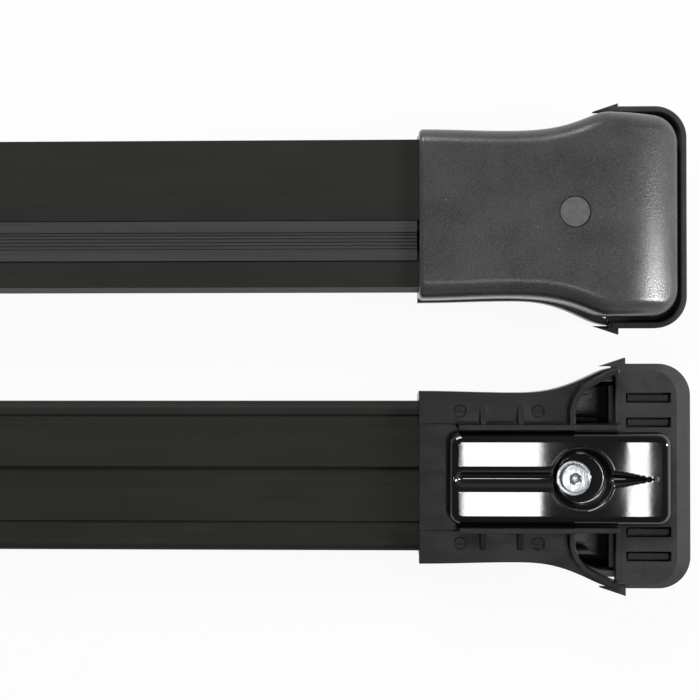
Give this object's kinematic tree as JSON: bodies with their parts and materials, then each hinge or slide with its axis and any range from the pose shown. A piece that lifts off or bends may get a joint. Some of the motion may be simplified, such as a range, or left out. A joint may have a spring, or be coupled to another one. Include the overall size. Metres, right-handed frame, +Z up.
{
  "type": "pair of roof crossbars",
  "caption": "Black aluminium roof crossbars with rubber load strips and clamp feet for roof rails, one lying upright and one upturned beside it.",
  "frame": {"origin": "middle of the pair on the ground it lies on", "axes": "+X along the bars, +Y from the upturned bar to the upright bar, +Z up"},
  "size_m": [1.11, 0.2328, 0.046],
  "materials": {
    "bar_aluminium": "black anodised extrusion with faint lines along it",
    "strip_rubber": "matt black rubber",
    "cover_plastic": "fine-grained black moulding",
    "foot_plastic": "smooth black moulding",
    "pad_rubber": "dull black rubber",
    "clamp_paint": "high-gloss black paint on pressed steel",
    "zinc_steel": "bright zinc plating"
  },
  "bodies": {
    "frame": {"a_bar": "bar_aluminium", "a_strip": "strip_rubber", "b_bar": "bar_aluminium", "b_strip": "strip_rubber", "a_left_base": "foot_plastic", "a_left_cover": "cover_plastic", "a_left_plug": "cover_plastic", "a_left_rail_pad": "pad_rubber", "a_left_clamp_nut": "zinc_steel", "a_left_bar_screws": "zinc_steel", "a_right_base": "foot_plastic", "a_right_cover": "cover_plastic", "a_right_plug": "cover_plastic", "a_right_rail_pad": "pad_rubber", "a_right_clamp_nut": "zinc_steel", "a_right_bar_screws": "zinc_steel", "b_left_base": "foot_plastic", "b_left_cover": "cover_plastic", "b_left_plug": "cover_plastic", "b_left_rail_pad": "pad_rubber", "b_left_clamp_nut": "zinc_steel", "b_left_bar_screws": "zinc_steel", "b_right_base": "foot_plastic", "b_right_cover": "cover_plastic", "b_right_plug": "cover_plastic", "b_right_rail_pad": "pad_rubber", "b_right_clamp_nut": "zinc_steel", "b_right_bar_screws": "zinc_steel"},
    "a_left_clamp_body": {"a_left_clamp": "clamp_paint", "a_left_clamp_liner": "pad_rubber"},
    "a_left_bolt_body": {"a_left_clamp_bolt": "zinc_steel", "a_left_washer": "zinc_steel"},
    "a_right_clamp_body": {"a_right_clamp": "clamp_paint", "a_right_clamp_liner": "pad_rubber"},
    "a_right_bolt_body": {"a_right_clamp_bolt": "zinc_steel", "a_right_washer": "zinc_steel"},
    "b_left_clamp_body": {"b_left_clamp": "clamp_paint", "b_left_clamp_liner": "pad_rubber"},
    "b_left_bolt_body": {"b_left_clamp_bolt": "zinc_steel", "b_left_washer": "zinc_steel"},
    "b_right_clamp_body": {"b_right_clamp": "clamp_paint", "b_right_clamp_liner": "pad_rubber"},
    "b_right_bolt_body": {"b_right_clamp_bolt": "zinc_steel", "b_right_washer": "zinc_steel"}
  },
  "joints": [
    {"name": "a_left_clamp_slide", "type": "slide", "parent": "frame", "child": "a_left_clamp_body", "axis": [0, 0, -1], "range_m": [0, 0.0175]},
    {"name": "a_left_bolt_turn", "type": "hinge", "parent": "a_left_clamp_body", "child": "a_left_bolt_body", "pos_m": [-0.499, 0.061, 0.0078], "axis": [0, 0, -1], "range_deg": [0, 5040]},
    {"name": "a_right_clamp_slide", "type": "slide", "parent": "frame", "child": "a_right_clamp_body", "axis": [0, 0, -1], "range_m": [0, 0.0175]},
    {"name": "a_right_bolt_turn", "type": "hinge", "parent": "a_right_clamp_body", "child": "a_right_bolt_body", "pos_m": [0.499, 0.061, 0.0078], "axis": [0, 0, -1], "range_deg": [0, 5040]},
    {"name": "b_left_clamp_slide", "type": "slide", "parent": "frame", "child": "b_left_clamp_body", "axis": [0, 0, 1], "range_m": [0, 0.0175]},
    {"name": "b_left_bolt_turn", "type": "hinge", "parent": "b_left_clamp_body", "child": "b_left_bolt_body", "pos_m": [-0.499, -0.061, 0.0382], "axis": [0, 0, 1], "range_deg": [0, 5040]},
    {"name": "b_right_clamp_slide", "type": "slide", "parent": "frame", "child": "b_right_clamp_body", "axis": [0, 0, 1], "range_m": [0, 0.0175]},
    {"name": "b_right_bolt_turn", "type": "hinge", "parent": "b_right_clamp_body", "child": "b_right_bolt_body", "pos_m": [0.499, -0.061, 0.0382], "axis": [0, 0, 1], "range_deg": [0, 5040]}
  ],
  "couplings": [
    {"joint": "a_left_bolt_turn", "follows": "a_left_clamp_slide", "rad_per_m": 5026.5},
    {"joint": "a_right_bolt_turn", "follows": "a_right_clamp_slide", "rad_per_m": 5026.5},
    {"joint": "b_left_bolt_turn", "follows": "b_left_clamp_slide", "rad_per_m": 5026.5},
    {"joint": "b_right_bolt_turn", "follows": "b_right_clamp_slide", "rad_per_m": 5026.5}
  ]
}
